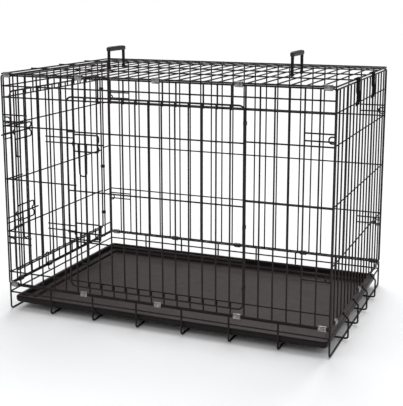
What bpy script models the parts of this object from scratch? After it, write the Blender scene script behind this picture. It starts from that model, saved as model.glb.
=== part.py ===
# Folding wire pet cage with a slide-out tray, two doors, slide-bolt latches and carry handles.
# Metres, +Z up, front face toward -Y, +X to the right of the front face.
import math

import bmesh
import bpy
from mathutils import Matrix, Vector

# ---------------------------------------------------------------- sizes
LEN = 0.910                  # between the front corner wires
DEP = 0.600                  # between front and back panel planes
HX, HY = LEN / 2, DEP / 2
NX, NY = 25, 16              # mesh pitches along the front and along an end
PX, PY = LEN / NX, DEP / NY

Z_RING = 0.0725              # base hinge wire
Z_MID = 0.0521               # base middle wire
Z_BOT = 0.0772               # bottom wire of every upright panel
Z_TOP = 0.6544               # top wire of front and back panel
Z_ETOP = 0.6519              # top wire of the end panels
Z_LID = 0.6591               # frame and cross wires of the top panel
Z_H = [0.1094, 0.2254, 0.3718, 0.5183, 0.5961, 0.6263]   # horizontal wires of a door panel
Z_DOOR = (0.0978, 0.6067)
Z_DOOR_H = (0.2235, 0.3608, 0.5167)

R_FRAME = 0.0022
R_BOUND = 0.0022
R_VERT = 0.0017
R_HOR = 0.0018
R_DOOR = 0.0024
R_BASE = 0.0025
R_BOLT = 0.0022
R_LOOP = 0.0019
R_GUIDE = 0.0020
R_CORNER = 0.005
LAYER = 0.0031               # horizontal wires sit this far off the vertical ones
NUDGE = 0.00013
DOOR_OFF = 0.0078            # door plane in front of its panel plane
BOLT_OFF = 0.0129            # bolt axis in front of the panel plane
END_Y = 0.2912                # corner wires of the end panels

SHIFT = Vector((0.000497, 0.007894, -0.000019))   # puts the bounding box over the origin

# ---------------------------------------------------------------- scene
for ob in list(bpy.data.objects):
    bpy.data.objects.remove(ob, do_unlink=True)
for c in list(bpy.data.collections):
    bpy.data.collections.remove(c)

scene = bpy.context.scene
parts = bpy.data.collections.new("pet_cage")
cutters = bpy.data.collections.new("operands")
scene.collection.children.link(parts)
scene.collection.children.link(cutters)


def material(name, colour, rough, metal):
    m = bpy.data.materials.new(name)
    m.use_nodes = True
    b = m.node_tree.nodes["Principled BSDF"]
    b.inputs["Base Color"].default_value = (*colour, 1.0)
    b.inputs["Roughness"].default_value = rough
    b.inputs["Metallic"].default_value = metal
    m.diffuse_color = (*colour, 1.0)
    return m


BLACK = material("black_powder_coat", (0.018, 0.018, 0.020), 0.42, 0.0)
TRAY = material("tray_plastic", (0.035, 0.031, 0.028), 0.55, 0.0)
GRIP = material("handle_plastic", (0.012, 0.012, 0.013), 0.38, 0.0)
ZINC = material("zinc_steel", (0.62, 0.62, 0.60), 0.34, 1.0)


# ---------------------------------------------------------------- helpers
def rod(bm, a, b, r):
    """four-sided straight wire with its ridges on the axes"""
    a, b = Vector(a), Vector(b)
    d = (b - a).normalized()
    ax = max(range(3), key=lambda i: abs(d[i]))
    helper = Vector((0, 1, 0)) if ax != 1 else Vector((0, 0, 1))
    u = helper.cross(d).normalized()
    v = d.cross(u)
    m = Matrix((u, v, d)).transposed().to_4x4()
    m.translation = (a + b) / 2
    bmesh.ops.create_cone(bm, cap_ends=True, cap_tris=False, segments=4,
                          radius1=r, radius2=r, depth=(b - a).length, matrix=m)


def rods(specs):
    bm = bmesh.new()
    for a, b, r in specs:
        rod(bm, a, b, r)
    me = bpy.data.meshes.new("rods")
    bm.to_mesh(me)
    bm.free()
    return me


def fillet(pts, radius, closed=False, seg=3):
    """round the corners of a polyline"""
    pts = [Vector(p) for p in pts]
    n = len(pts)
    out = []
    for i, p in enumerate(pts):
        if not closed and i in (0, n - 1):
            out.append(p)
            continue
        a, b = pts[i - 1], pts[(i + 1) % n]
        da, db = (a - p).normalized(), (b - p).normalized()
        ang = da.angle(db)
        if ang > math.pi - 0.02:
            out.append(p)
            continue
        r = radius[i] if isinstance(radius, (list, tuple)) else radius
        cut = r / math.tan(ang / 2)
        c = p + (da + db).normalized() * (r / math.sin(ang / 2))
        s, e = p + da * cut - c, p + db * cut - c
        tot = s.angle(e)
        for k in range(seg + 1):
            t = k / seg
            q = (s * math.sin((1 - t) * tot) + e * math.sin(t * tot)) / math.sin(tot)
            out.append(c + q)
    return out


def sweep(paths, sides=4, square=False):
    """mesh of bent wires; paths is a list of (points, radius, closed)"""
    bm = bmesh.new()
    for pts, r, closed in paths:
        cu = bpy.data.curves.new("wire", "CURVE")
        cu.dimensions = "3D"
        cu.bevel_depth = r
        cu.bevel_resolution = (sides - 4) // 2
        cu.use_fill_caps = True
        cu.twist_mode = "MINIMUM"
        sp = cu.splines.new("POLY")
        sp.points.add(len(pts) - 1)
        for q, p in zip(sp.points, pts):
            q.co = (*p, 1.0)
            q.tilt = math.pi / 4 if square else 0.0
        sp.use_cyclic_u = closed
        ob = bpy.data.objects.new("wire", cu)
        scene.collection.objects.link(ob)
        dg = bpy.context.evaluated_depsgraph_get()
        dg.update()
        me = bpy.data.meshes.new_from_object(ob.evaluated_get(dg))
        bm.from_mesh(me)
        bpy.data.objects.remove(ob, do_unlink=True)
        bpy.data.curves.remove(cu)
        bpy.data.meshes.remove(me)
    bmesh.ops.remove_doubles(bm, verts=bm.verts, dist=1e-6)
    bmesh.ops.recalc_face_normals(bm, faces=bm.faces)
    me = bpy.data.meshes.new("sweep")
    bm.to_mesh(me)
    bm.free()
    return me


def box(lo, hi, bevel=0.0, seg=3, vertical_only=True, taper=0.0):
    bm = bmesh.new()
    bmesh.ops.create_cube(bm, size=1.0)
    lo, hi = Vector(lo), Vector(hi)
    for v in bm.verts:
        for i in range(3):
            v.co[i] = lo[i] if v.co[i] < 0 else hi[i]
    if bevel:
        edges = [e for e in bm.edges
                 if not vertical_only or abs(e.verts[0].co.z - e.verts[1].co.z) > 1e-6]
        bmesh.ops.bevel(bm, geom=edges, offset=bevel, segments=seg, profile=0.5,
                        affect="EDGES", clamp_overlap=True)
    if taper:
        zm = (lo.z + hi.z) / 2
        c = (lo + hi) / 2
        for v in bm.verts:
            if v.co.z < zm:
                v.co.x -= math.copysign(taper, v.co.x - c.x)
                v.co.y -= math.copysign(taper, v.co.y - c.y)
    me = bpy.data.meshes.new("box")
    bm.to_mesh(me)
    bm.free()
    return me


def strip(path, axis, centre, length, thick):
    """band bent along path in the plane across axis, then thickened both ways"""
    u, v = {"X": (1, 2), "Y": (0, 2), "Z": (0, 1)}[axis]
    w = "XYZ".index(axis)
    bm = bmesh.new()
    vs = []
    for a, b in path:
        co = [0.0, 0.0, 0.0]
        co[u], co[v], co[w] = centre[u] + a, centre[v] + b, centre[w] - length / 2
        vs.append(bm.verts.new(co))
    es = [bm.edges.new(p) for p in zip(vs, vs[1:])]
    ex = bmesh.ops.extrude_edge_only(bm, edges=es)
    move = Vector((0, 0, 0))
    move[w] = length
    bmesh.ops.translate(bm, vec=move,
                        verts=[g for g in ex["geom"] if isinstance(g, bmesh.types.BMVert)])
    me = bpy.data.meshes.new("strip")
    bm.to_mesh(me)
    bm.free()
    ob = bpy.data.objects.new("strip", me)
    scene.collection.objects.link(ob)
    so = ob.modifiers.new("thick", "SOLIDIFY")
    so.thickness = thick
    so.offset = 0.0
    so.use_even_offset = True
    dg = bpy.context.evaluated_depsgraph_get()
    dg.update()
    out = bpy.data.meshes.new_from_object(ob.evaluated_get(dg))
    bpy.data.objects.remove(ob, do_unlink=True)
    bm = bmesh.new()
    bm.from_mesh(out)
    bmesh.ops.recalc_face_normals(bm, faces=bm.faces)
    bm.to_mesh(out)
    bm.free()
    return out


NODES = {}


def node(name, base, mat, origin=(0, 0, 0), unite=(), cut=()):
    origin = Vector(origin)
    base.transform(Matrix.Translation(-origin))
    base.name = name
    base.materials.clear()
    base.materials.append(mat)
    ob = bpy.data.objects.new(name, base)
    ob.location = origin + SHIFT
    parts.objects.link(ob)
    for k, (meshes, how) in enumerate(((unite, "UNION"), (cut, "DIFFERENCE"))):
        for j, me in enumerate(meshes):
            me.materials.clear()
            me.materials.append(mat)
            op = bpy.data.objects.new(f"{name}_op{k}{j}", me)
            op.location = SHIFT
            cutters.objects.link(op)
            op.hide_render = True
            op.display_type = "WIRE"
            mo = ob.modifiers.new(f"{how.lower()}_{j}", "BOOLEAN")
            mo.operation = how
            mo.solver = "EXACT"
            mo.object = op
    NODES[name] = ob
    return ob


# ---------------------------------------------------------------- base grid
def ring(z, r):
    pts = [(-HX, -HY, z), (HX, -HY, z), (HX, HY, z), (-HX, HY, z)]
    return fillet(pts, R_CORNER, True), r, True


Y_POST = HY - 0.0030
Z_FLOOR = 0.0022             # centre of the square cross wires
crossings = []
for k in range(8):
    x = -HX + k * LEN / 7
    pts = [(x, -Y_POST, Z_RING + 0.0015), (x, -Y_POST, Z_FLOOR),
           (x, Y_POST, Z_FLOOR), (x, Y_POST, Z_RING + 0.0015)]
    crossings.append((fillet(pts, 0.008), 0.0022 * math.sqrt(2), False))
Z_LONG = 0.0044 + R_BASE - 0.0004
X_POST = HX + R_FRAME + R_BASE - 0.0004
X_LEG = HX + 0.0160          # upright ends of the lengthwise wires, outside the right end
runs = []
for f in (3.5, 6.5, 9.5, 12.5):
    y = -HY + f * PY
    pts = [(-HX - 0.0025, y, Z_LONG), (X_LEG, y, Z_LONG), (X_LEG, y, 0.0580),
           (X_POST, y, 0.0690), (X_POST, y, Z_RING + 0.0020)]
    runs.append((fillet(pts, [0, 0.0065, 0.006, 0.001, 0]), R_BASE, False))
node("base_grid", sweep([ring(Z_RING, R_FRAME), ring(Z_MID, R_FRAME)]), BLACK,
     unite=[sweep(crossings, square=True), sweep(runs)])

# ---------------------------------------------------------------- tray
TX, TY, TZ0, TZ1 = 0.448, 0.290, 0.0094, 0.0380
Z_SKIRT, Z_LEDGE = 0.0190, 0.0216    # underside of the rim, top of the step inside it
node("tray", box((-TX, -TY, Z_SKIRT), (TX, TY, TZ1), 0.0100, 3, taper=0.0030), TRAY,
     unite=[box((-TX + .0218, -TY + .0218, TZ0), (TX - .0218, TY - .0218, Z_SKIRT + .0012), 0.0100, 3,
                taper=0.0040)],
     cut=[box((-TX + .0112, -TY + .0112, Z_LEDGE), (TX - .0112, TY - .0112, TZ1 + .004), 0.0070, 3,
              taper=0.0012),
          box((-TX + .0245, -TY + .0245, TZ0 + .0026), (TX - .0245, TY - .0245, Z_LEDGE + .0012), 0.0080, 3,
              taper=0.0030)])


# ---------------------------------------------------------------- upright panels
# A panel is drawn in (s, z) with a plane offset n; put() maps it to world axes.
def put_front(s, z, n=0.0):
    return (s, -HY + n, z)


def put_back(s, z, n=0.0):
    return (s, HY - n, z)


def put_left(s, z, n=0.0):
    return (-HX + n, s, z)


def put_right(s, z, n=0.0):
    return (HX - n, s, z)


def loop(put, s0, s1, z0, z1, r, n=0.0, rc=R_CORNER, seg=3):
    pts = [put(s0, z0, n), put(s1, z0, n), put(s1, z1, n), put(s0, z1, n)]
    return fillet(pts, rc, True, seg), r, True


def bars(put, half, heights, r=R_HOR):
    e = half + 0.0007
    return [(put(-e, z, LAYER), put(e, z, LAYER), r) for z in heights]


def slots(put, half, inner, zs, side):
    """short double wires beside a corner, where the end panel's hook goes"""
    return [(put(side * (half + 0.0007), z, LAYER), put(side * inner, z, LAYER), R_HOR) for z in zs]


SLOT_Z = (0.5488, 0.5307, 0.2100, 0.1919)
DOOR_X = (6, 19)             # vertical wires that bound the front door opening
x_of = [-HX + k * PX for k in range(NX + 1)]
y_of = [-HY + k * PY for k in range(NY + 1)]

# front panel: full wires beside the opening, short ones above and below it
vert, hor = [], []
for k in range(1, NX):
    x = x_of[k]
    if k in DOOR_X:
        vert.append((put_front(x, Z_BOT, NUDGE), put_front(x, Z_TOP, NUDGE), R_BOUND))
    elif DOOR_X[0] < k < DOOR_X[1]:
        vert.append((put_front(x, Z_BOT, NUDGE), put_front(x, Z_H[0] + 0.003, NUDGE), R_VERT))
        vert.append((put_front(x, Z_H[4] - 0.003, NUDGE), put_front(x, Z_TOP, NUDGE), R_VERT))
    else:
        vert.append((put_front(x, Z_BOT, NUDGE), put_front(x, Z_TOP, NUDGE), R_VERT))
hor += bars(put_front, HX, (Z_H[0], Z_H[4], Z_H[5]))
for z in Z_H[1:4]:
    for side, k in ((-1, DOOR_X[0]), (1, DOOR_X[1])):
        hor.append((put_front(side * (HX + 0.0007), z, LAYER),
                    put_front(x_of[k] - side * 0.0012, z, LAYER), R_HOR))
hor += slots(put_front, HX, x_of[23], SLOT_Z, 1)
hor += slots(put_front, HX, -x_of[2], SLOT_Z, -1)

# keepers for the bolts of the front door, on the outer ridges of the mesh wires
KEEP_OFF = -(R_VERT + R_HOR - 0.0004)
keep = []
for z in (0.4993, 0.4847, 0.2632, 0.2486):
    keep.append((put_front(-0.3215, z, KEEP_OFF), put_front(x_of[6] + 0.0009, z, KEEP_OFF), R_HOR))
node("front_panel", sweep([loop(put_front, -HX, HX, Z_BOT, Z_TOP, R_FRAME)]), BLACK,
     origin=(0, -HY, Z_RING), unite=[rods(vert), rods(hor), rods(keep)])

# back panel
vert = [(put_back(x_of[k], Z_BOT, NUDGE), put_back(x_of[k], Z_TOP, NUDGE), R_VERT)
        for k in range(1, NX)]
hor = bars(put_back, HX, Z_H[1:4]) + slots(put_back, HX, x_of[23], SLOT_Z, 1) \
    + slots(put_back, HX, x_of[23], SLOT_Z, -1)
node("back_panel", sweep([loop(put_back, -HX, HX, Z_BOT, Z_TOP, R_FRAME)]), BLACK,
     origin=(0, HY, Z_RING), unite=[rods(vert), rods(hor)])


def hooks(put):
    """bent hooks at the corners of an end panel, turned into the cage"""
    out = []
    for side in (-1, 1):
        for z in (0.5337, 0.1969):
            pts = [put(side * END_Y, z + 0.008, 0.0006), put(side * END_Y, z + 0.008, 0.0165),
                   put(side * END_Y, z - 0.008, 0.0165), put(side * END_Y, z - 0.008, 0.0006)]
            out.append((fillet(pts, 0.0072), R_LOOP, False))
    return sweep(out)


# right end panel
vert = [(put_right(y_of[k], Z_BOT, NUDGE), put_right(y_of[k], Z_ETOP, NUDGE), R_VERT)
        for k in range(1, NY)]
hor = bars(put_right, END_Y, Z_H[1:5])
node("right_end_panel", sweep([loop(put_right, -END_Y, END_Y, Z_BOT, Z_ETOP, R_FRAME)]), BLACK,
     origin=(HX, 0, Z_RING), unite=[rods(vert), rods(hor), hooks(put_right)])

# left end panel, with a door opening
Y_HINGE = 0.253
EK = (2, 15)
vert, hor = [], []
for k in range(1, NY):
    y = y_of[k]
    if k == EK[0]:
        vert.append((put_left(y, Z_BOT, NUDGE), put_left(y, Z_ETOP, NUDGE), R_BOUND))
    elif k == EK[1]:
        vert.append((put_left(Y_HINGE, Z_BOT, NUDGE), put_left(Y_HINGE, Z_ETOP, NUDGE), R_BOUND))
    elif EK[0] < k < EK[1]:
        vert.append((put_left(y, Z_BOT, NUDGE), put_left(y, Z_H[0] + 0.003, NUDGE), R_VERT))
        vert.append((put_left(y, Z_H[4] - 0.003, NUDGE), put_left(y, Z_ETOP, NUDGE), R_VERT))
    else:
        vert.append((put_left(y, Z_BOT, NUDGE), put_left(y, Z_ETOP, NUDGE), R_VERT))
hor += bars(put_left, END_Y, (Z_H[0], Z_H[4], Z_H[5]))
for z in Z_H[1:4]:
    hor.append((put_left(-END_Y - 0.0007, z, LAYER), put_left(y_of[2] + 0.0012, z, LAYER), R_HOR))
    hor.append((put_left(Y_HINGE - 0.0012, z, LAYER), put_left(END_Y + 0.0007, z, LAYER), R_HOR))
keep = []
for z, y0, y1 in ((0.4955, -END_Y, y_of[1] + 0.0012), (0.4808, -END_Y, y_of[1] + 0.0012),
                  (0.2601, -END_Y, y_of[2] + 0.0009), (0.2455, -END_Y, y_of[2] + 0.0009)):
    keep.append((put_left(y0, z, KEEP_OFF), put_left(y1, z, KEEP_OFF), R_HOR))
node("left_end_panel", sweep([loop(put_left, -END_Y, END_Y, Z_BOT, Z_ETOP, R_FRAME)]), BLACK,
     origin=(-HX, 0, Z_RING), unite=[rods(vert), rods(hor), rods(keep), hooks(put_left)])

# ---------------------------------------------------------------- top panel
cross = [((x_of[k], -HY, Z_LID - NUDGE), (x_of[k], HY, Z_LID - NUDGE), R_VERT) for k in range(1, NX)]
along = [((-HX - 0.0045, y, Z_LID + LAYER), (HX + 0.0045, y, Z_LID + LAYER), R_HOR)
         for y in (-HY / 2, 0.0, HY / 2)]
lid = fillet([(-HX, -HY, Z_LID), (HX, -HY, Z_LID), (HX, HY, Z_LID), (-HX, HY, Z_LID)], R_CORNER, True)
node("top_panel", sweep([(lid, R_FRAME, True)]), BLACK, origin=(0, -HY, Z_TOP),
     unite=[rods(cross), rods(along)])


# ---------------------------------------------------------------- doors and slide bolts
def guide(put, s0, s1, z0, z1, zb):
    """bent wire frame that holds a slide bolt against the door; its sides bow out over the bolt"""
    n0 = -(DOOR_OFF + R_VERT + R_GUIDE - 0.0004)
    n1 = -(BOLT_OFF + R_BOLT + R_GUIDE + 0.0004)
    h = 0.0085
    pts = [put(s0, z0, n0), put(s0, zb - h, n0), put(s0, zb - 0.003, n1), put(s0, zb + 0.003, n1),
           put(s0, zb + h, n0), put(s0, z1, n0), put(s1, z1, n0), put(s1, zb + h, n0),
           put(s1, zb + 0.003, n1), put(s1, zb - 0.003, n1), put(s1, zb - h, n0), put(s1, z0, n0)]
    rad = [0.006, 0.002, 0.002, 0.002, 0.002, 0.006, 0.006, 0.002, 0.002, 0.002, 0.002, 0.006]
    return fillet(pts, rad, True, 2), R_GUIDE, True


def bolt(name, put, tip, tail, zb, loop_s, drop, origin):
    """round rod with a hanging U loop to pull it by"""
    body = sweep([([put(tip, zb, -BOLT_OFF), put(tail, zb, -BOLT_OFF)], R_BOLT, False)], sides=8)
    nl = -(BOLT_OFF + R_BOLT + R_LOOP - 0.0006)
    a, b = loop_s
    pts = [put(a, zb + 0.0004, nl), put(a + 0.0030, zb - drop, nl), put(b - 0.0015, zb - drop, nl),
           put(b, zb + 0.0004, nl)]
    node(name, body, BLACK, origin=origin,
         unite=[sweep([(fillet(pts, 0.0085, False, 4), R_LOOP, False)])])


# front door
XH = x_of[19]
XL = -0.2520
put = put_front
dv = [(put(x_of[k], Z_DOOR[0], -DOOR_OFF - NUDGE), put(x_of[k], Z_DOOR[1], -DOOR_OFF - NUDGE), R_VERT)
      for k in range(DOOR_X[0] + 1, DOOR_X[1])]
dh = [(put(XL - 0.0007, z, -DOOR_OFF - LAYER), put(XH + 0.0007, z, -DOOR_OFF - LAYER), R_HOR)
      for z in Z_DOOR_H]
FG = ((0.4664, 0.5107, 0.4866), (0.2296, 0.2742, 0.2492))
guides = [guide(put, -0.2305, -0.1577, z0, z1, zb) for z0, z1, zb in FG]
node("front_door", sweep([loop(put, XL, XH, *Z_DOOR, R_DOOR, -DOOR_OFF, 0.014, 4)]), BLACK,
     origin=put(XH, 0.0, -DOOR_OFF), unite=[rods(dv), rods(dh), sweep(guides)])
for tag, zb in (("upper", FG[0][2]), ("lower", FG[1][2])):
    bolt(f"front_door_bolt_{tag}", put, -0.2548, -0.1430, zb, (-0.2152, -0.1905), 0.084,
         put(-0.2, zb, -BOLT_OFF))

# end door
put = put_left
YH, YL = Y_HINGE, -0.2545
dv = [(put(y_of[k], Z_DOOR[0], -DOOR_OFF - NUDGE), put(y_of[k], Z_DOOR[1], -DOOR_OFF - NUDGE), R_VERT)
      for k in range(EK[0], EK[1])]
dh = [(put(YL - 0.0007, z, -DOOR_OFF - LAYER), put(YH + 0.0007, z, -DOOR_OFF - LAYER), R_HOR)
      for z in Z_DOOR_H]
EG = ((0.4698, 0.5102, 0.4909, -0.2300, -0.1500), (0.2361, 0.2804, 0.2573, -0.2300, -0.1500))
guides = [guide(put, s0, s1, z0, z1, zb) for z0, z1, zb, s0, s1 in EG]
node("end_door", sweep([loop(put, YL, YH, *Z_DOOR, R_DOOR, -DOOR_OFF, 0.014, 4)]), BLACK,
     origin=put(YH, 0.0, -DOOR_OFF), unite=[rods(dv), rods(dh), sweep(guides)])
bolt("end_door_bolt_upper", put, -0.2925, -0.1360, EG[0][2], (-0.2230, -0.1985), 0.074,
     put(-0.2, EG[0][2], -BOLT_OFF))
bolt("end_door_bolt_lower", put, -0.2400, -0.1240, EG[1][2], (-0.1990, -0.1700), 0.080,
     put(-0.2, EG[1][2], -BOLT_OFF))

# ---------------------------------------------------------------- carry handles
HAND_H, HAND_W = 0.0541, 0.0452      # grip centre above the lid, half the span of the legs
GRIP_X, GRIP_Z = 0.0058, 0.0068      # half sizes of the grip bar
R_LEG = 0.0036


def handle(name, k, y0):
    x = x_of[k]
    bm = bmesh.new()
    for s in (-1, 1):
        m = Matrix.Translation((x, y0 + s * HAND_W, Z_LID)) @ Matrix.Rotation(math.pi / 2, 4, "X")
        bmesh.ops.create_cone(bm, cap_ends=True, cap_tris=False, segments=12, radius1=0.0048,
                              radius2=0.0048, depth=0.008, matrix=m)
    eyes = bpy.data.meshes.new("eyes")
    bm.to_mesh(eyes)
    bm.free()
    legs = sweep([([(x, y0 + s * HAND_W, Z_LID + 0.003), (x, y0 + s * (HAND_W - 0.0010), Z_LID + HAND_H)],
                   R_LEG, False) for s in (-1, 1)], sides=8)
    e = HAND_W + 0.0042
    bar = box((x - GRIP_X, y0 - e, Z_LID + HAND_H - GRIP_Z), (x + GRIP_X, y0 + e, Z_LID + HAND_H + GRIP_Z),
              0.0026, 2, vertical_only=False)
    bm = bmesh.new()
    for s in (-1, 1):
        m = Matrix.Translation((x, y0 + s * HAND_W, Z_LID - NUDGE)) @ Matrix.Rotation(math.pi / 2, 4, "X")
        bmesh.ops.create_cone(bm, cap_ends=True, cap_tris=False, segments=12, radius1=R_VERT + 0.0005,
                              radius2=R_VERT + 0.0005, depth=0.020, matrix=m)
    bore = bpy.data.meshes.new("bores")
    bm.to_mesh(bore)
    bm.free()
    node(name, bar, GRIP, origin=(x, y0, Z_LID), unite=[legs, eyes], cut=[bore])


handle("handle_left", 5, 0.011)
handle("handle_right", 20, 0.003)

# ---------------------------------------------------------------- flat latch plates on the top panel
EYE = 0.0037
for tag, y in (("front", -0.090), ("back", 0.096)):
    path = [(EYE * math.cos(math.radians(a)), EYE * math.sin(math.radians(a)))
            for a in range(-60 - 210, 1, 30)]
    path = [(EYE * math.cos(math.radians(a)), EYE * math.sin(math.radians(a)))
            for a in range(240, -1, -30)] + [(EYE, -0.030), (EYE + 0.0016, -0.036),
                                             (EYE + 0.0016, -0.052), (EYE, -0.058), (EYE, -0.066)]
    node(f"top_latch_{tag}", strip(path, "Y", (HX, y, Z_LID), 0.043, 0.0009), GRIP,
         origin=(HX, y, Z_LID))

# ---------------------------------------------------------------- tray stop
SX, SZ, SY = -HX + LAYER, Z_H[0], -0.1085
R_STOP = 0.0016
eye = 0.0038
pts = [(SX + eye * math.cos(math.radians(a)), SY, SZ + eye * math.sin(math.radians(a)))
       for a in range(235, -11, -35)]
pts += [(-HX + 0.0050, SY, SZ - 0.009), (-HX + 0.0050, SY, 0.0642), (-HX + 0.0064, SY, 0.0610),
        (-HX + 0.0089, SY, 0.0615), (-HX + 0.0096, SY, 0.0642)]
node("tray_stop", sweep([(pts, R_STOP, False)]), BLACK, origin=(SX, SY, SZ))


# ---------------------------------------------------------------- sheet clips around paired wires
def clip(name, axis, centre, half_w, half_h, length, seam, origin):
    a, b, c = half_w, half_h, 0.0016
    g = 0.0008
    path = [(a, g), (a, b - c), (a - c, b), (c - a, b), (-a, b - c),
            (-a, c - b), (c - a, -b), (a - c, -b), (a, c - b), (a, -g)]
    if seam < 0:
        path = [(-p, q) for p, q in path]
    if axis == "Z":
        path = [(q, p) for p, q in path]
        path = [(q, p) for p, q in path]
    node(name, strip(path, axis, centre, length, 0.0010), ZINC, origin=origin)


ZC = (Z_RING + Z_BOT) / 2
CW, CH, CL = 0.0032, 0.0068, 0.0200
for i, f in enumerate((0.5, 6.5, 12.5, 18.5, 24.5)):
    x = -HX + f * PX
    clip(f"front_bottom_clip_{i+1}", "X", (x, -HY, ZC), CW, CH, CL, 1, (x, -HY, Z_RING))
    clip(f"back_bottom_clip_{i+1}", "X", (x, HY, ZC), CW, CH, CL, -1, (x, HY, Z_RING))
    clip(f"front_top_clip_{i+1}", "X", (x, -HY, (Z_TOP + Z_LID) / 2), CW, CH, CL, 1, (x, -HY, Z_TOP))
for i, f in enumerate((1.5, 5.5, 13.5)):
    y = -HY + f * PY
    clip(f"left_bottom_clip_{i+1}", "Y", (-HX, y, ZC), CW, CH, CL, 1, (-HX, y, Z_RING))
for i, f in enumerate((1.5, 8.5, 14.5)):
    y = -HY + f * PY
    clip(f"right_bottom_clip_{i+1}", "Y", (HX, y, ZC), CW, CH, CL, -1, (HX, y, Z_RING))


def door_clip(name, put, s, z, origin):
    """clip round the door's edge wire and the opening's boundary wire"""
    a, b0, b1, c = 0.0036, 0.0034, -(DOOR_OFF + R_DOOR + 0.0011), 0.0014
    g = 0.0007
    path = [(g, b0), (a - c, b0), (a, b0 - c), (a, b1 + c), (a - c, b1), (c - a, b1), (-a, b1 + c),
            (-a, b0 - c), (c - a, b0), (-g, b0)]
    if put is put_front:
        pth = [(p, n) for p, n in path]
        centre = (s, -HY, z)
    else:
        pth = [(n, p) for p, n in path]
        centre = (-HX, s, z)
    node(name, strip(pth, "Z", centre, 0.0120, 0.0009), BLACK, origin=origin)


for i, z in enumerate((0.1516, 0.3075, 0.5639)):
    door_clip(f"front_door_clip_{i+1}", put_front, XH, z, put_front(XH, z, 0.0))
    door_clip(f"end_door_clip_{i+1}", put_left, YH, z, put_left(YH, z, 0.0))
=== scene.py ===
import math

import bmesh
import bpy
from mathutils import Matrix, Vector


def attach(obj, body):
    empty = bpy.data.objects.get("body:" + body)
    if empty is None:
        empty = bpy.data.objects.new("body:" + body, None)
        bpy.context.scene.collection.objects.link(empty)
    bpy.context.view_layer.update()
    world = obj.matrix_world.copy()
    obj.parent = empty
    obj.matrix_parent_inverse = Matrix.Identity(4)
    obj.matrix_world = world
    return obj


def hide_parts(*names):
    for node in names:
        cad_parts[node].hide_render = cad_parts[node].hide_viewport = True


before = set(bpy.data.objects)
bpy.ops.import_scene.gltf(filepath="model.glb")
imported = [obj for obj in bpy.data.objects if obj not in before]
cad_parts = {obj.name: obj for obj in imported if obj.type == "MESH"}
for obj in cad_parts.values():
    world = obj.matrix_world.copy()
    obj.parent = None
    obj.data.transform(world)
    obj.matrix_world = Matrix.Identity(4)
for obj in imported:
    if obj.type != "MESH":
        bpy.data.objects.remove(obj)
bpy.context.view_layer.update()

# ------------------------------------------------------------------ sizes, the same as the solids'
LEN, DEP = 0.910, 0.600
HX, HY = LEN / 2, DEP / 2
NX, NY = 25, 16
PX, PY = LEN / NX, DEP / NY
S = Vector((0.000497, 0.007894, -0.000019))
Z_RING, Z_MID, Z_BOT, Z_TOP, Z_ETOP, Z_LID = 0.0725, 0.0521, 0.0772, 0.6544, 0.6519, 0.6591
Z_H = [0.1094, 0.2254, 0.3718, 0.5183, 0.5961, 0.6263]
Z_DOOR, Z_DOOR_H = (0.0978, 0.6067), (0.2235, 0.3608, 0.5167)
R_FRAME, R_BOUND, R_VERT, R_HOR, R_DOOR, R_BASE = 0.0022, 0.0023, 0.0021, 0.0020, 0.0024, 0.0024
R_BOLT, R_LOOP, R_GUIDE = 0.0022, 0.0019, 0.0020
LAYER, DOOR_OFF, BOLT_OFF, END_Y = 0.0031, 0.0078, 0.0129, 0.2912
SLOT_Z = (0.5488, 0.5307, 0.2100, 0.1919)
x_of = [-HX + k * PX for k in range(NX + 1)]
y_of = [-HY + k * PY for k in range(NY + 1)]


# ------------------------------------------------------------------ materials
class Nodes:
    """small helper to write a shader tree"""

    def __init__(self, name):
        self.m = bpy.data.materials.new(name)
        self.m.use_nodes = True
        self.t = self.m.node_tree
        self.b = self.t.nodes["Principled BSDF"]
        self.co = self.t.nodes.new("ShaderNodeTexCoord").outputs["Object"]

    def new(self, kind, **inputs):
        n = self.t.nodes.new(kind)
        for k, v in inputs.items():
            k = k.replace("_", " ")
            if isinstance(v, bpy.types.NodeSocket):
                self.t.links.new(v, n.inputs[k])
            else:
                n.inputs[k].default_value = v
        return n

    def noise(self, scale, detail=3.0, rough=0.55, co=None):
        return self.new("ShaderNodeTexNoise", Vector=co or self.co, Scale=scale, Detail=detail,
                        Roughness=rough).outputs["Fac"]

    def stretch(self, x, y, z):
        n = self.t.nodes.new("ShaderNodeMapping")
        self.t.links.new(self.co, n.inputs["Vector"])
        n.inputs["Scale"].default_value = (x, y, z)
        return n.outputs["Vector"]

    def ramp(self, fac, stops):
        n = self.t.nodes.new("ShaderNodeValToRGB")
        self.t.links.new(fac, n.inputs["Fac"])
        e = n.color_ramp.elements
        while len(e) < len(stops):
            e.new(0.5)
        for el, (p, c) in zip(e, stops):
            el.position = p
            el.color = (*c, 1.0)
        return n.outputs["Color"]

    def mix(self, fac, a, b):
        n = self.t.nodes.new("ShaderNodeMix")
        n.data_type = "RGBA"
        for key, v in (("Factor", fac), ("A", a), ("B", b)):
            sock = [s for s in n.inputs if s.name == key and
                    (s.type == ("VALUE" if key == "Factor" else "RGBA"))][0]
            if isinstance(v, bpy.types.NodeSocket):
                self.t.links.new(v, sock)
            else:
                sock.default_value = v if key == "Factor" else (*v, 1.0)
        return [o for o in n.outputs if o.type == "RGBA"][0]

    def span(self, fac, lo, hi, a=0.0, b=1.0):
        n = self.t.nodes.new("ShaderNodeMapRange")
        self.t.links.new(fac, n.inputs["Value"])
        for k, v in (("From Min", a), ("From Max", b), ("To Min", lo), ("To Max", hi)):
            n.inputs[k].default_value = v
        return n.outputs["Result"]

    def set(self, **k):
        for key, v in k.items():
            key = key.replace("_", " ")
            if isinstance(v, bpy.types.NodeSocket):
                self.t.links.new(v, self.b.inputs[key])
            else:
                self.b.inputs[key].default_value = v

    def bump(self, height, strength, distance, after=None):
        n = self.new("ShaderNodeBump", Height=height, Strength=strength, Distance=distance)
        if after is not None:
            self.t.links.new(after, n.inputs["Normal"])
        return n.outputs["Normal"]


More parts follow.
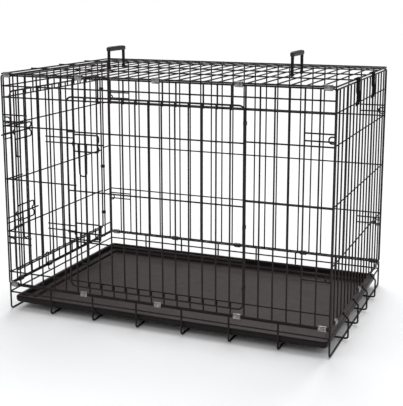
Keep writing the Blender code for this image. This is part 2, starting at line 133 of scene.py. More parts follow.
def powder_coat(name, dark, light, rough):
    """baked powder coat: orange peel, a few thin spots where the steel greys through"""
    n = Nodes(name)
    tone = n.ramp(n.noise(38.0, 4.0), [(0.30, dark), (0.72, light)])
    fleck = n.ramp(n.noise(720.0, 2.0, 0.4), [(0.70, (0, 0, 0)), (0.78, (1, 1, 1))])
    flk = n.span(fleck, 0.0, 0.35)
    n.set(Base_Color=n.mix(flk, tone, (0.034, 0.031, 0.030)),
          Roughness=n.span(n.noise(95.0, 3.0), rough - 0.07, rough + 0.09, 0.3, 0.7),
          Metallic=0.0, Specular_IOR_Level=0.22)
    peel = n.bump(n.noise(1500.0, 2.0), 0.25, 0.0002)
    n.set(Normal=n.bump(n.noise(260.0, 2.0), 0.12, 0.0005, peel))
    return n.m


def tray_plastic():
    """thick moulded sheet: pebble grain, faint flow clouds, a little dust; painted light on the up-facing
    floor, painted shade on the walls, and a slightly lower specular on the floor
    """
    n = Nodes("tray_moulded")
    sep = n.t.nodes.new("ShaderNodeSeparateXYZ")
    tc = [k for k in n.t.nodes if k.bl_idname == "ShaderNodeTexCoord"][0]
    n.t.links.new(tc.outputs["Normal"], sep.inputs["Vector"])
    # facing mask from the normal: up-facing floor gets the painted light tone, walls get the painted shade
    # tone; the same mask lowers the floor's specular
    up = n.span(sep.outputs["Z"], 0.0, 1.0, 0.35, 0.98)
    cloud = n.noise(6.5, 5.0)
    # painted shade on the walls and painted light on the floor: a darker and a lighter copy of the same
    # cloud tone
    shaded_wall_tone = n.ramp(cloud, [(0.30, (0.0085, 0.0062, 0.0062)), (0.72, (0.0125, 0.0096, 0.0095))])
    top = n.ramp(cloud, [(0.30, (0.0300, 0.0215, 0.0218)), (0.72, (0.0385, 0.0285, 0.0286))])
    tone = n.mix(up, shaded_wall_tone, top)
    dust = n.ramp(n.noise(48.0, 6.0, 0.7), [(0.55, (0, 0, 0)), (0.85, (1, 1, 1))])
    n.set(Base_Color=n.mix(n.span(dust, 0.0, 0.26), tone, (0.046, 0.038, 0.037)),
          Roughness=n.span(n.noise(30.0, 4.0), 0.36, 0.50, 0.3, 0.7), Metallic=0.0,
          Specular_IOR_Level=n.span(up, 0.16, 0.11))
    v = n.t.nodes.new("ShaderNodeTexVoronoi")
    v.inputs["Scale"].default_value = 620.0
    n.t.links.new(n.co, v.inputs["Vector"])
    grain = n.bump(v.outputs["Distance"], 0.20, 0.0003)
    n.set(Normal=n.bump(n.noise(24.0, 2.0), 0.08, 0.0015, grain))
    return n.m


def grip_plastic(name, tone, lo=0.38, hi=0.54, spec=0.25):
    n = Nodes(name)
    a = n.ramp(n.noise(55.0, 4.0), [(0.3, tone), (0.75, tuple(c * 1.9 + 0.002 for c in tone))])
    n.set(Base_Color=a, Roughness=n.span(n.noise(140.0, 3.0), lo, hi, 0.3, 0.7), Metallic=0.0,
          Specular_IOR_Level=spec)
    v = n.t.nodes.new("ShaderNodeTexVoronoi")
    v.inputs["Scale"].default_value = 1300.0
    n.t.links.new(n.co, v.inputs["Vector"])
    n.set(Normal=n.bump(v.outputs["Distance"], 0.15, 0.00015))
    return n.m


def zinc(name, axis):
    """rolled and plated strip: drawn lines along the roll, dull blotches"""
    n = Nodes(name)
    sc = {"X": (30, 900, 900), "Y": (900, 30, 900), "Z": (900, 900, 30)}[axis]
    lines = n.noise(1.0, 3.0, 0.6, n.stretch(*sc))
    blot = n.noise(160.0, 4.0)
    tone = n.ramp(blot, [(0.34, (0.080, 0.078, 0.077)), (0.66, (0.38, 0.38, 0.375))])
    n.set(Base_Color=n.mix(n.span(lines, 0.0, 0.35), tone, (0.34, 0.34, 0.33)),
          Metallic=1.0, Roughness=n.span(lines, 0.30, 0.50, 0.3, 0.7))
    n.set(Normal=n.bump(lines, 0.18, 0.0002))
    return n.m


BLACK = powder_coat("black_powder_coat", (0.0105, 0.0052, 0.0058), (0.0170, 0.0092, 0.0098), 0.46)
BOLT = powder_coat("bolt_powder_coat", (0.0042, 0.0036, 0.0036), (0.0085, 0.0072, 0.0070), 0.40)
TRAY = tray_plastic()
GRIP = grip_plastic("handle_moulded", (0.0200, 0.0200, 0.0205))
LEG = grip_plastic("handle_leg_moulded", (0.0060, 0.0058, 0.0060))
PLATE = grip_plastic("latch_moulded", (0.0030, 0.0024, 0.0024), 0.80, 0.95, 0.02)
ZINC = {a: zinc("zinc_strip_" + a, a) for a in "XYZ"}


# ------------------------------------------------------------------ mesh helpers
def fillet(pts, radius, closed=False, seg=7):
    pts = [Vector(p) for p in pts]
    n = len(pts)
    out = []
    for i, p in enumerate(pts):
        if not closed and i in (0, n - 1):
            out.append(p)
            continue
        a, b = pts[i - 1], pts[(i + 1) % n]
        da, db = (a - p).normalized(), (b - p).normalized()
        ang = da.angle(db)
        if ang > math.pi - 0.02:
            out.append(p)
            continue
        r = radius[i] if isinstance(radius, (list, tuple)) else radius
        cut = r / math.tan(ang / 2)
        c = p + (da + db).normalized() * (r / math.sin(ang / 2))
        s, e = p + da * cut - c, p + db * cut - c
        tot = s.angle(e)
        for k in range(seg + 1):
            t = k / seg
            out.append(c + (s * math.sin((1 - t) * tot) + e * math.sin(t * tot)) / math.sin(tot))
    return out


def tube(bm, pts, r, closed=False, sides=12, cap=0.35):
    """round wire along pts; the cut ends are slightly rounded"""
    pts = [Vector(p) for p in pts]
    n = len(pts)
    tang = []
    for i in range(n):
        if closed:
            t = (pts[(i + 1) % n] - pts[i]).normalized() + (pts[i] - pts[i - 1]).normalized()
        elif i == 0:
            t = pts[1] - pts[0]
        elif i == n - 1:
            t = pts[-1] - pts[-2]
        else:
            t = (pts[i + 1] - pts[i]).normalized() + (pts[i] - pts[i - 1]).normalized()
        tang.append(t.normalized())
    ref = Vector((0, 0, 1)) if abs(tang[0].z) < 0.9 else Vector((1, 0, 0))
    u = (ref - tang[0] * ref.dot(tang[0])).normalized()
    rings = []
    stations = []
    for i in range(n):
        if i:
            u = (u - tang[i] * u.dot(tang[i])).normalized()
        stations.append((pts[i], tang[i], u.copy(), r))
    if not closed and cap:
        c = r * cap
        p, t, w, _ = stations[0]
        stations[0] = (p, t, w, r - c)
        stations.insert(1, (p + t * c * 0.3, t, w, r - c * 0.3))
        stations.insert(2, (p + t * c, t, w, r))
        p, t, w, _ = stations[-1]
        stations[-1] = (p, t, w, r - c)
        stations.insert(-1, (p - t * c, t, w, r))
        stations.insert(-1, (p - t * c * 0.3, t, w, r - c * 0.3))
    for p, t, w, rr in stations:
        v = t.cross(w)
        rings.append([bm.verts.new(p + (w * math.cos(a) + v * math.sin(a)) * rr)
                      for a in (2 * math.pi * k / sides for k in range(sides))])
    m = len(rings)
    for i in range(m if closed else m - 1):
        a, b = rings[i], rings[(i + 1) % m]
        for k in range(sides):
            bm.faces.new((a[k], a[(k + 1) % sides], b[(k + 1) % sides], b[k]))
    if not closed:
        bm.faces.new(rings[0][::-1])
        bm.faces.new(rings[-1])
    return rings


def finish_mesh(bm, name, sharp=50.0):
    bmesh.ops.recalc_face_normals(bm, faces=bm.faces)
    me = bpy.data.meshes.new(name)
    bm.to_mesh(me)
    bm.free()
    me.shade_smooth()
    me.set_sharp_from_angle(angle=math.radians(sharp))
    return me


def piece(name, bm, mat, body, nodes=(), sharp=50.0, mods=()):
    me = finish_mesh(bm, name, sharp)
    me.transform(Matrix.Translation(S))
    me.materials.append(mat)
    ob = bpy.data.objects.new(name, me)
    bpy.context.scene.collection.objects.link(ob)
    for kind, settings in mods:
        mo = ob.modifiers.new(kind.lower(), kind)
        for k, v in settings.items():
            setattr(mo, k, v)
    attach(ob, body)
    if nodes:
        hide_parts(*nodes)
    return ob


def wires(name, items, body, nodes, mat=None):
    """items: (points, radius, closed)"""
    bm = bmesh.new()
    for pts, r, closed in items:
        tube(bm, pts, r, closed, 14 if r > 0.0019 else 12)
    return piece(name, bm, mat or BLACK, body, nodes)


# ------------------------------------------------------------------ planes of the upright panels
def put_front(s, z, n=0.0):
    return Vector((s, -HY + n, z))


def put_back(s, z, n=0.0):
    return Vector((s, HY - n, z))


def put_left(s, z, n=0.0):
    return Vector((-HX + n, s, z))


def put_right(s, z, n=0.0):
    return Vector((HX - n, s, z))


def frame_loop(put, s0, s1, z0, z1, r, n=0.0, rc=0.0052):
    return fillet([put(s0, z0, n), put(s1, z0, n), put(s1, z1, n), put(s0, z1, n)], rc, True), r, True


def line(a, b, r):
    return [a, b], r, False


# ------------------------------------------------------------------ base grid
items = []
for z in (Z_RING, Z_MID):
    items.append((fillet([(-HX, -HY, z), (HX, -HY, z), (HX, HY, z), (-HX, HY, z)], 0.0052, True),
                  R_FRAME, True))
YP, ZF = HY - 0.0030, 0.0024
for k in range(8):
    x = -HX + k * LEN / 7
    items.append((fillet([(x, -YP, Z_RING + 0.0020), (x, -YP, ZF), (x, YP, ZF),
                          (x, YP, Z_RING + 0.0020)], 0.0085), R_BASE, False))
ZLG, XP, XLEG = 0.0066, HX + R_FRAME + R_BASE - 0.0005, HX + 0.0160
for f in (3.5, 6.5, 9.5, 12.5):
    y = -HY + f * PY
    items.append((fillet([(-HX - 0.0024, y, ZLG), (XLEG, y, ZLG), (XLEG, y, 0.0580), (XP, y, 0.0690),
                          (XP, y, Z_RING + 0.0024)], [0, 0.0066, 0.008, 0.0015, 0]), R_BASE, False))
wires("base_wires", items, "base", ["base_grid"])

# ------------------------------------------------------------------ front panel
items = [frame_loop(put_front, -HX, HX, Z_BOT, Z_TOP, R_FRAME)]
K0, K1 = 6, 19
for k in range(1, NX):
    x = x_of[k]
    if k in (K0, K1):
        items.append(line(put_front(x, Z_BOT), put_front(x, Z_TOP), R_BOUND))
    elif K0 < k < K1:
        items.append(line(put_front(x, Z_BOT), put_front(x, Z_H[0] + 0.0026), R_VERT))
        items.append(line(put_front(x, Z_H[4] - 0.0026), put_front(x, Z_TOP), R_VERT))
    else:
        items.append(line(put_front(x, Z_BOT), put_front(x, Z_TOP), R_VERT))
for z in (Z_H[0], Z_H[4], Z_H[5]):
    items.append(line(put_front(-HX, z, LAYER), put_front(HX, z, LAYER), R_HOR))
for z in Z_H[1:4]:
    items.append(line(put_front(-HX, z, LAYER), put_front(x_of[K0] + 0.0016, z, LAYER), R_HOR))
    items.append(line(put_front(x_of[K1] - 0.0016, z, LAYER), put_front(HX, z, LAYER), R_HOR))
for z in SLOT_Z:
    items.append(line(put_front(HX, z, LAYER), put_front(x_of[23] - 0.001, z, LAYER), R_HOR))
    items.append(line(put_front(-HX, z, LAYER), put_front(-x_of[23] + 0.001, z, LAYER), R_HOR))
KEEP, R_KEEP = -0.0032, 0.0018
for z in (0.4993, 0.4847, 0.2632, 0.2486):
    items.append(line(put_front(-0.3215, z, KEEP), put_front(x_of[6] + 0.0009, z, KEEP), R_KEEP))
wires("front_panel_wires", items, "front", ["front_panel"])

# ------------------------------------------------------------------ back panel
items = [frame_loop(put_back, -HX, HX, Z_BOT, Z_TOP, R_FRAME)]
for k in range(1, NX):
    items.append(line(put_back(x_of[k], Z_BOT), put_back(x_of[k], Z_TOP), R_VERT))
for z in Z_H[1:4]:
    items.append(line(put_back(-HX, z, LAYER), put_back(HX, z, LAYER), R_HOR))
for z in SLOT_Z:
    for s in (-1, 1):
        items.append(line(put_back(s * HX, z, LAYER), put_back(s * (x_of[23] - 0.001), z, LAYER), R_HOR))
wires("back_panel_wires", items, "back", ["back_panel"])


def hooks(put):
    out = []
    for side in (-1, 1):
        for z in (0.5337, 0.1969):
            out.append((fillet([put(side * END_Y, z + 0.008, 0.0), put(side * END_Y, z + 0.008, 0.0165),
                                put(side * END_Y, z - 0.008, 0.0165), put(side * END_Y, z - 0.008, 0.0)],
                               0.0074), R_LOOP, False))
    return out


# ------------------------------------------------------------------ right end panel
items = [frame_loop(put_right, -END_Y, END_Y, Z_BOT, Z_ETOP, R_FRAME)]
for k in range(1, NY):
    items.append(line(put_right(y_of[k], Z_BOT), put_right(y_of[k], Z_ETOP), R_VERT))
for z in Z_H[1:5]:
    items.append(line(put_right(-END_Y, z, LAYER), put_right(END_Y, z, LAYER), 0.0016))
wires("right_end_wires", items + hooks(put_right), "right_end", ["right_end_panel"])

# ------------------------------------------------------------------ left end panel
YH = 0.253
items = [frame_loop(put_left, -END_Y, END_Y, Z_BOT, Z_ETOP, R_FRAME)]
for k in range(1, NY):
    y = y_of[k]
    if k in (2, 15):
        y = y if k == 2 else YH
        items.append(line(put_left(y, Z_BOT), put_left(y, Z_ETOP), R_BOUND))
    elif 2 < k < 15:
        items.append(line(put_left(y, Z_BOT), put_left(y, Z_H[0] + 0.0026), R_VERT))
        items.append(line(put_left(y, Z_H[4] - 0.0026), put_left(y, Z_ETOP), R_VERT))
    else:
        items.append(line(put_left(y, Z_BOT), put_left(y, Z_ETOP), R_VERT))
for z in (Z_H[0], Z_H[4], Z_H[5]):
    items.append(line(put_left(-END_Y, z, LAYER), put_left(END_Y, z, LAYER), R_HOR))
for z in Z_H[1:4]:
    items.append(line(put_left(-END_Y, z, LAYER), put_left(y_of[2] + 0.0016, z, LAYER), R_HOR))
    items.append(line(put_left(YH - 0.0016, z, LAYER), put_left(END_Y, z, LAYER), R_HOR))
for z, y1 in ((0.4955, y_of[1] + 0.0014), (0.4808, y_of[1] + 0.0014),
              (0.2601, y_of[2] + 0.0009), (0.2455, y_of[2] + 0.0009)):
    items.append(line(put_left(-END_Y, z, KEEP), put_left(y1, z, KEEP), R_KEEP))
wires("left_end_wires", items + hooks(put_left), "left_end", ["left_end_panel"])

# ------------------------------------------------------------------ top panel
items = [(fillet([(-HX, -HY, Z_LID), (HX, -HY, Z_LID), (HX, HY, Z_LID), (-HX, HY, Z_LID)], 0.0052, True),
          R_FRAME, True)]
for k in range(1, NX):
    items.append(line((x_of[k], -HY, Z_LID), (x_of[k], HY, Z_LID), 0.0018))
for y in (-HY / 2, 0.0, HY / 2):
    items.append(line((-HX - 0.0043, y, Z_LID + LAYER), (HX + 0.0043, y, Z_LID + LAYER), 0.0018))
wires("top_panel_wires", items, "top", ["top_panel"])


# ------------------------------------------------------------------ doors and bolts
def guide(put, s0, s1, z0, z1, zb):
    n0 = -(DOOR_OFF + R_VERT + R_GUIDE - 0.0004)
    n1 = -(BOLT_OFF + R_BOLT + R_GUIDE + 0.0003)
    h = 0.0085
    pts = [put(s0, z0, n0), put(s0, zb - h, n0), put(s0, zb - 0.003, n1), put(s0, zb + 0.003, n1),
           put(s0, zb + h, n0), put(s0, z1, n0), put(s1, z1, n0), put(s1, zb + h, n0),
           put(s1, zb + 0.003, n1), put(s1, zb - 0.003, n1), put(s1, zb - h, n0), put(s1, z0, n0)]
    rad = [0.0062, 0.0024, 0.0024, 0.0024, 0.0024, 0.0062] * 2
    return fillet(pts, rad, True, 5), R_GUIDE, True


def bolt(name, put, tip, tail, zb, loop_s, drop, body, nodes):
    nl = -(BOLT_OFF + R_BOLT + R_LOOP - 0.0006)
    a, b = loop_s
    bm = bmesh.new()
    tube(bm, [put(tip, zb, -BOLT_OFF), put(tail, zb, -BOLT_OFF)], R_BOLT, False, 16, 0.6)
    tube(bm, fillet([put(a, zb + 0.0006, nl), put(a + 0.0030, zb - drop, nl), put(b - 0.0015, zb - drop, nl),
                     put(b, zb + 0.0006, nl)], 0.0088, False, 9), R_LOOP, False, 12)
    return piece(name, bm, BOLT, body, nodes)


XH, XL = x_of[19], -0.2520
items = [frame_loop(put_front, XL, XH, *Z_DOOR, R_DOOR, -DOOR_OFF, 0.0142)]
for k in range(K0 + 1, K1):
    items.append(line(put_front(x_of[k], Z_DOOR[0], -DOOR_OFF), put_front(x_of[k], Z_DOOR[1], -DOOR_OFF),
                      R_VERT))
for z in Z_DOOR_H:
    items.append(line(put_front(XL, z, -DOOR_OFF - LAYER), put_front(XH, z, -DOOR_OFF - LAYER), R_HOR))
for z0, z1, zb in ((0.4664, 0.5107, 0.4866), (0.2296, 0.2742, 0.2492)):
    items.append(guide(put_front, -0.2305, -0.1577, z0, z1, zb))
wires("front_door_wires", items, "front_door", ["front_door"])
for tag, zb in (("upper", 0.4866), ("lower", 0.2492)):
    bolt(f"front_bolt_{tag}_rod", put_front, -0.2548, -0.1430, zb, (-0.2152, -0.1905), 0.084,
         f"front_bolt_{tag}", [f"front_door_bolt_{tag}"])

YL = -0.2545
items = [frame_loop(put_left, YL, YH, *Z_DOOR, R_DOOR, -DOOR_OFF, 0.0142)]
for k in range(2, 15):
    items.append(line(put_left(y_of[k], Z_DOOR[0], -DOOR_OFF), put_left(y_of[k], Z_DOOR[1], -DOOR_OFF),
                      R_VERT))
for z in Z_DOOR_H:
    items.append(line(put_left(YL, z, -DOOR_OFF - LAYER), put_left(YH, z, -DOOR_OFF - LAYER), R_HOR))
for z0, z1, zb in ((0.4698, 0.5102, 0.4909), (0.2361, 0.2804, 0.2573)):
    items.append(guide(put_left, -0.2300, -0.1500, z0, z1, zb))
wires("end_door_wires", items, "end_door", ["end_door"])
bolt("end_bolt_upper_rod", put_left, -0.2925, -0.1360, 0.4909, (-0.2230, -0.1985), 0.074,
     "end_bolt_upper", ["end_door_bolt_upper"])
bolt("end_bolt_lower_rod", put_left, -0.2400, -0.1240, 0.2573, (-0.1990, -0.1700), 0.080,
     "end_bolt_lower", ["end_door_bolt_lower"])

# ------------------------------------------------------------------ tray stop
SX, SZ, SY = -HX + LAYER, Z_H[0], -0.1085
eye = [(SX + 0.0038 * math.cos(math.radians(a)), SY, SZ + 0.0038 * math.sin(math.radians(a)))
       for a in range(235, -11, -12)]
tail = fillet([eye[-1], (-HX + 0.0050, SY, SZ - 0.009), (-HX + 0.0050, SY, 0.0617),
               (-HX + 0.0084, SY, 0.0612), (-HX + 0.0096, SY, 0.0640)], [0, 0.004, 0.002, 0.0015, 0])
wires("tray_stop_wire", [(eye[:-1] + tail, 0.0016, False)], "tray_stop", ["tray_stop"])


# ------------------------------------------------------------------ tray
def rounded(hx, hy, r, z, n=9):
    out = []
    for cx, cy, a0 in ((hx - r, hy - r, 0), (-hx + r, hy - r, 90), (-hx + r, -hy + r, 180),
                       (hx - r, -hy + r, 270)):
        for k in range(n + 1):
            a = math.radians(a0 + 90 * k / n)
            out.append(Vector((cx + r * math.cos(a), cy + r * math.sin(a), z)))
    return out


def loft(bm, loops, close=True):
    rows = [[bm.verts.new(p) for p in lp] for lp in loops]
    n = len(rows[0])
    m = len(rows)
    for i in range(m if close else m - 1):
        a, b = rows[i], rows[(i + 1) % m]
        for k in range(n):
            bm.faces.new((a[k], a[(k + 1) % n], b[(k + 1) % n], b[k]))
    return rows


TX, TY, TZ0, TZ1 = 0.448, 0.290, 0.0094, 0.0380
bm = bmesh.new()
# one skin, from the edge of the underside out and up round the rim, then down the step to the floor
prof = [  # inset from the rim's edge, height, corner radius
    (0.0275, TZ0 + 0.0000, 0.0060), (0.0262, TZ0 + 0.0006, 0.0068), (0.0253, TZ0 + 0.0020, 0.0074),
    (0.0232, 0.0176, 0.0086), (0.0226, 0.0184, 0.0088), (0.0216, 0.0189, 0.0092),
    (0.0064, 0.0192, 0.0100), (0.0042, 0.0198, 0.0104), (0.0024, 0.0214, 0.0108), (0.0013, 0.0236, 0.0110),
    (0.0004, 0.0280, 0.0112), (0.0001, 0.0318, 0.0114), (0.0003, 0.0340, 0.0114), (0.0010, 0.0358, 0.0112),
    (0.0022, 0.0371, 0.0108), (0.0038, 0.0378, 0.0102), (0.0056, 0.0380, 0.0096), (0.0084, 0.0380, 0.0088),
    (0.0100, 0.0377, 0.0082), (0.0110, 0.0370, 0.0078), (0.0115, 0.0358, 0.0075), (0.0119, 0.0330, 0.0073),
    (0.0126, 0.0246, 0.0070), (0.0131, 0.0230, 0.0068), (0.0142, 0.0220, 0.0064), (0.0160, 0.0216, 0.0058),
    (0.0222, 0.0212, 0.0080), (0.0238, 0.0208, 0.0080), (0.0247, 0.0199, 0.0080), (0.0251, 0.0186, 0.0080),
    (0.0266, 0.0146, 0.0080), (0.0273, 0.0133, 0.0080), (0.0286, 0.0124, 0.0080), (0.0306, 0.0121, 0.0080)]
rows = loft(bm, [rounded(TX - i, TY - i, r, z) for i, z, r in prof], close=False)
bm.faces.new(rows[0][::-1])
# floor: almost flat, dished by a fraction of a millimetre toward the middle
prev = rows[-1]
for i, z, r in ((0.0600, 0.01195, 0.010), (0.1200, 0.01185, 0.012), (0.2000, 0.01180, 0.014)):
    row = [bm.verts.new(p) for p in rounded(TX - i, TY - i, r, z)]
    for k in range(len(row)):
        bm.faces.new((prev[k], prev[(k + 1) % len(row)], row[(k + 1) % len(row)], row[k]))
    prev = row
bm.faces.new(prev)
piece("tray_shell", bm, TRAY, "tray", ["tray"], sharp=75.0)


# ------------------------------------------------------------------ sheet clips
def ribbon(path, axis, centre, length, thick, edge=0.0):
    """thick band along a 2D path in the plane across axis, as one closed skin"""
    u, v = {"X": (1, 2), "Y": (0, 2), "Z": (0, 1)}[axis]
    w = "XYZ".index(axis)
    p = [Vector(q) for q in path]
    nrm = []
    for i in range(len(p)):
        a = p[max(i - 1, 0)]
        b = p[min(i + 1, len(p) - 1)]
        t = (b - a).normalized()
        nrm.append(Vector((-t.y, t.x)))
    h = thick / 2
    prof = []                                    # cross-section of the strip, rounded at its edges
    e = min(h * 0.8, 0.0004) if not edge else edge
    for s, d in ((-1, -1), (-1, 1), (1, 1), (1, -1)):
        pass
    L = length / 2
    section = [(-L + e, -h), (L - e, -h), (L, -h + e), (L, h - e), (L - e, h), (-L + e, h),
               (-L, h - e), (-L, -h + e)]
    bm = bmesh.new()
    rows = []
    for q, n in zip(p, nrm):
        row = []
        for along, off in section:
            co = [0.0, 0.0, 0.0]
            co[u], co[v], co[w] = centre[u] + q.x + n.x * off, centre[v] + q.y + n.y * off, centre[w] + along
            row.append(bm.verts.new(co))
        rows.append(row)
    m = len(section)
    for a, b in zip(rows, rows[1:]):
        for k in range(m):
            bm.faces.new((a[k], a[(k + 1) % m], b[(k + 1) % m], b[k]))
    bm.faces.new(rows[0][::-1])
    bm.faces.new(rows[-1])
    return bm


def smooth_path(path, r, seg=5):
    return [(q.x, q.y) for q in fillet([(a, b, 0) for a, b in path], r, False, seg)]


def clip(name, axis, centre, a, b, length, seam, body):
    g = 0.0009
    path = smooth_path([(a, g), (a, b), (-a, b), (-a, -b), (a, -b), (a, -g)], 0.0030)
    if seam < 0:
        path = [(-p, q) for p, q in path]
    piece(name + "_strip", ribbon(path, axis, centre, length, 0.0010), ZINC[axis], body, [name],
          sharp=40.0)


ZC = (Z_RING + Z_BOT) / 2
for i, f in enumerate((0.5, 6.5, 12.5, 18.5, 24.5)):
    x = -HX + f * PX
    clip(f"front_bottom_clip_{i+1}", "X", (x, -HY, ZC), 0.0032, 0.0068, 0.0200, 1, "front")
    clip(f"back_bottom_clip_{i+1}", "X", (x, HY, ZC), 0.0032, 0.0068, 0.0200, -1, "back")
    clip(f"front_top_clip_{i+1}", "X", (x, -HY, (Z_TOP + Z_LID) / 2), 0.0032, 0.0068, 0.0200, 1, "top")
for i, f in enumerate((1.5, 5.5, 13.5)):
    clip(f"left_bottom_clip_{i+1}", "Y", (-HX, -HY + f * PY, ZC), 0.0032, 0.0068, 0.0200, 1, "left_end")
for i, f in enumerate((1.5, 8.5, 14.5)):
    clip(f"right_bottom_clip_{i+1}", "Y", (HX, -HY + f * PY, ZC), 0.0032, 0.0068, 0.0200, -1, "right_end")

A, B0, B1, G = 0.0031, 0.0031, -(DOOR_OFF + R_DOOR + 0.0008), 0.0007
base_path = smooth_path([(G, B0), (A, B0), (A, B1), (-A, B1), (-A, B0), (-G, B0)], 0.0026)
for i, z in enumerate((0.1516, 0.3075, 0.5639)):
    piece(f"front_door_clip_{i+1}_strip",
          ribbon(base_path, "Z", (XH, -HY, z), 0.0092, 0.0008), BLACK, "front",
          [f"front_door_clip_{i+1}"], sharp=40.0)
    piece(f"end_door_clip_{i+1}_strip",
          ribbon([(n, p) for p, n in base_path], "Z", (-HX, YH, z), 0.0092, 0.0008), BLACK, "left_end",
          [f"end_door_clip_{i+1}"], sharp=40.0)


# ------------------------------------------------------------------ carry handles
HAND_H, HAND_W = 0.0541, 0.0452
GRIP_X, GRIP_Z, LEG_X, LEG_Y = 0.0058, 0.0068, 0.0041, 0.0040


def superloop(hx, hz, n, power=3.2):
    """rounded-box outline in (x, z)"""
    out = []
    for k in range(n):
        a = 2 * math.pi * k / n
        c, s = math.cos(a), math.sin(a)
        out.append((math.copysign(abs(c) ** (2 / power), c) * hx,
                    math.copysign(abs(s) ** (2 / power), s) * hz))
    return out


def grip_bar(bm, x, y0):
    """moulded grip along Y: box-like with soft edges and sloped shoulders, ribs below"""
    e, n, m = HAND_W + 0.0042, 64, 32
    rows = []
    for i in range(n + 1):
        t = i / n
        y = y0 - e + 2 * e * t
        end = min(t, 1 - t) * 2 * e
        k = 1.0
        if end < 0.0022:
            k = 0.76 + 0.24 * math.sin(math.acos(max(0.0, 1 - end / 0.0022)))
        drop = 0.0022 * max(0.0, 1 - end / 0.0150) ** 1.6
        rib = 0.00032 * (0.5 - 0.5 * math.cos(2 * math.pi * 9 * t)) if 0.16 < t < 0.84 else 0.0
        row = []
        for px, pz in superloop(GRIP_X * k, GRIP_Z * k, m, 4.0):
            if pz > 0:
                pz -= drop * pz / GRIP_Z
            else:
                pz += rib
            row.append(bm.verts.new((x + px, y, Z_LID + HAND_H + pz)))
        rows.append(row)
    for a, b in zip(rows, rows[1:]):
        for k in range(m):
            bm.faces.new((a[k], a[(k + 1) % m], b[(k + 1) % m], b[k]))
    bm.faces.new(rows[0][::-1])
    bm.faces.new(rows[-1])


def leg(bm, x, y, lean):
    """moulded leg: a rounded box that tapers a little down to its eye"""
    rows, n = [], 24
    for t in (0.0, 0.12, 0.3, 0.6, 0.85, 1.0):
        k = 0.94 + 0.06 * t
        z = Z_LID + 0.0036 + (HAND_H - 0.0010 - 0.0036) * t
        rows.append([bm.verts.new((x + px, y + lean * t + py, z))
                     for px, py in superloop(LEG_X * k, LEG_Y * k, n, 3.0)])
    for a, b in zip(rows, rows[1:]):
        for k in range(n):
            bm.faces.new((a[k], a[(k + 1) % n], b[(k + 1) % n], b[k]))
    bm.faces.new(rows[0][::-1])
    bm.faces.new(rows[-1])


def handle(name, k, y0):
    x = x_of[k]
    bm = bmesh.new()
    for s in (-1, 1):
        leg(bm, x, y0 + s * HAND_W, -s * 0.0010)
    for f in bm.faces:
        f.material_index = 1
    grip_bar(bm, x, y0)
    grip_faces = len(bm.faces)
    for s in (-1, 1):
        ro, ri, w, n = 0.0053, 0.0020, 0.0043, 24
        rows = []
        for yy, rr in ((-w, ri), (-w, ro - 0.0006), (-w + 0.0006, ro), (w - 0.0006, ro),
                       (w, ro - 0.0006), (w, ri)):
            rows.append([bm.verts.new((x + rr * math.cos(a), y0 + s * HAND_W + yy, Z_LID + rr * math.sin(a)))
                         for a in (2 * math.pi * j / n for j in range(n))])
        for i in range(len(rows)):
            a, b = rows[i], rows[(i + 1) % len(rows)]
            for j in range(n):
                bm.faces.new((a[j], a[(j + 1) % n], b[(j + 1) % n], b[j]))
    for f in list(bm.faces)[grip_faces:]:
        f.material_index = 1
    ob = piece(name + "_bow", bm, GRIP, name, [name], sharp=45.0)
    ob.data.materials.append(LEG)


handle("handle_left", 5, 0.011)
handle("handle_right", 20, 0.003)

# ------------------------------------------------------------------ latch plates
for tag, y in (("front", -0.090), ("back", 0.096)):
    E = 0.0037
    path = [(E * math.cos(math.radians(a)), E * math.sin(math.radians(a))) for a in range(240, -1, -12)]
    path += [(q.x, q.y) for q in fillet([(E, -0.0005, 0), (E, -0.030, 0), (E + 0.0016, -0.036, 0),
                                         (E + 0.0016, -0.052, 0), (E, -0.058, 0), (E, -0.066, 0)],
                                        0.006, False, 5)]
    piece(f"latch_{tag}_plate", ribbon(path, "Y", (HX, y, Z_LID), 0.0428, 0.0009), PLATE,
          f"latch_{tag}", [f"top_latch_{tag}"], sharp=40.0)

# ------------------------------------------------------------------ stage
me = bpy.data.meshes.new("floor")
bm = bmesh.new()
bmesh.ops.create_grid(bm, x_segments=1, y_segments=1, size=14.0)
bm.to_mesh(me)
bm.free()
floor = bpy.data.objects.new("floor", me)
bpy.context.scene.collection.objects.link(floor)
fm = bpy.data.materials.new("paper")
fm.use_nodes = True
fb = fm.node_tree.nodes["Principled BSDF"]
fb.inputs["Base Color"].default_value = (0.955, 0.960, 0.970, 1.0)
fb.inputs["Roughness"].default_value = 0.85
fb.inputs["Specular IOR Level"].default_value = 0.2
floor.data.materials.append(fm)

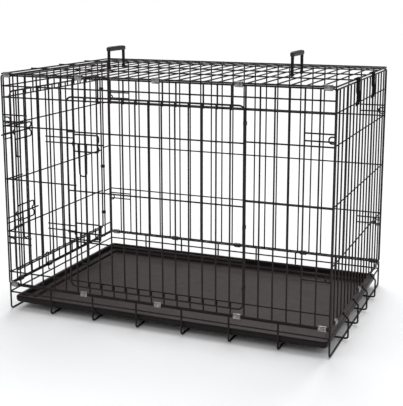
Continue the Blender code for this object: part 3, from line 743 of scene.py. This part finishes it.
world = bpy.data.worlds.new("studio")
bpy.context.scene.world = world
world.use_nodes = True
bg = world.node_tree.nodes["Background"]
bg.inputs["Color"].default_value = (1.0, 1.0, 1.0, 1.0)
path = world.node_tree.nodes.new("ShaderNodeLightPath")
wt = world.node_tree
glossy = wt.nodes.new("ShaderNodeMapRange")
glossy.inputs["To Min"].default_value = 0.53
glossy.inputs["To Max"].default_value = 0.30
wt.links.new(path.outputs["Is Glossy Ray"], glossy.inputs["Value"])
seen = wt.nodes.new("ShaderNodeMath")
seen.operation = "MAXIMUM"
wt.links.new(path.outputs["Is Camera Ray"], seen.inputs[0])
wt.links.new(glossy.outputs["Result"], seen.inputs[1])
wt.links.new(seen.outputs["Value"], bg.inputs["Strength"])

sun = bpy.data.lights.new("overhead", "SUN")
sun.energy = 2.15
sun.angle = math.radians(46.0)
so = bpy.data.objects.new("overhead", sun)
so.rotation_euler = Vector((0.16, -0.74, -1.0)).to_track_quat("-Z", "Y").to_euler()
bpy.context.scene.collection.objects.link(so)


def area(name, loc, target, size, power, colour=(1, 1, 1)):
    li = bpy.data.lights.new(name, "AREA")
    li.shape = "SQUARE"
    li.size = size
    li.energy = power
    li.color = colour
    ob = bpy.data.objects.new(name, li)
    ob.location = loc
    d = Vector(target) - Vector(loc)
    ob.rotation_euler = d.to_track_quat("-Z", "Y").to_euler()
    bpy.context.scene.collection.objects.link(ob)


area("key", (-1.6, -2.2, 2.8), (0, 0, 0.3), 1.6, 12.0)
area("fill", (2.6, -1.2, 1.9), (0, 0, 0.3), 2.0, 8.0)

AZ, EL = math.radians(-22.40), math.radians(10.81)
fwd = Vector((math.sin(AZ) * math.cos(EL), math.cos(AZ) * math.cos(EL), -math.sin(EL)))
rgt = Vector((math.cos(AZ), -math.sin(AZ), 0.0))
upv = rgt.cross(fwd)
cam = bpy.data.cameras.new("camera")
cam.sensor_width = 36.0
cam.lens = 877.3 / 406 * 36
cam.shift_y = (162.0 - 203.0) / 406
cam.clip_start, cam.clip_end = 0.05, 60.0
co = bpy.data.objects.new("camera", cam)
loc = Vector((0.930, -2.259, 0.866)) + S
co.matrix_world = Matrix((
    (rgt.x, upv.x, -fwd.x, loc.x), (rgt.y, upv.y, -fwd.y, loc.y),
    (rgt.z, upv.z, -fwd.z, loc.z), (0, 0, 0, 1)))
bpy.context.scene.collection.objects.link(co)
bpy.context.scene.camera = co
bpy.context.scene.view_settings.view_transform = "Standard"
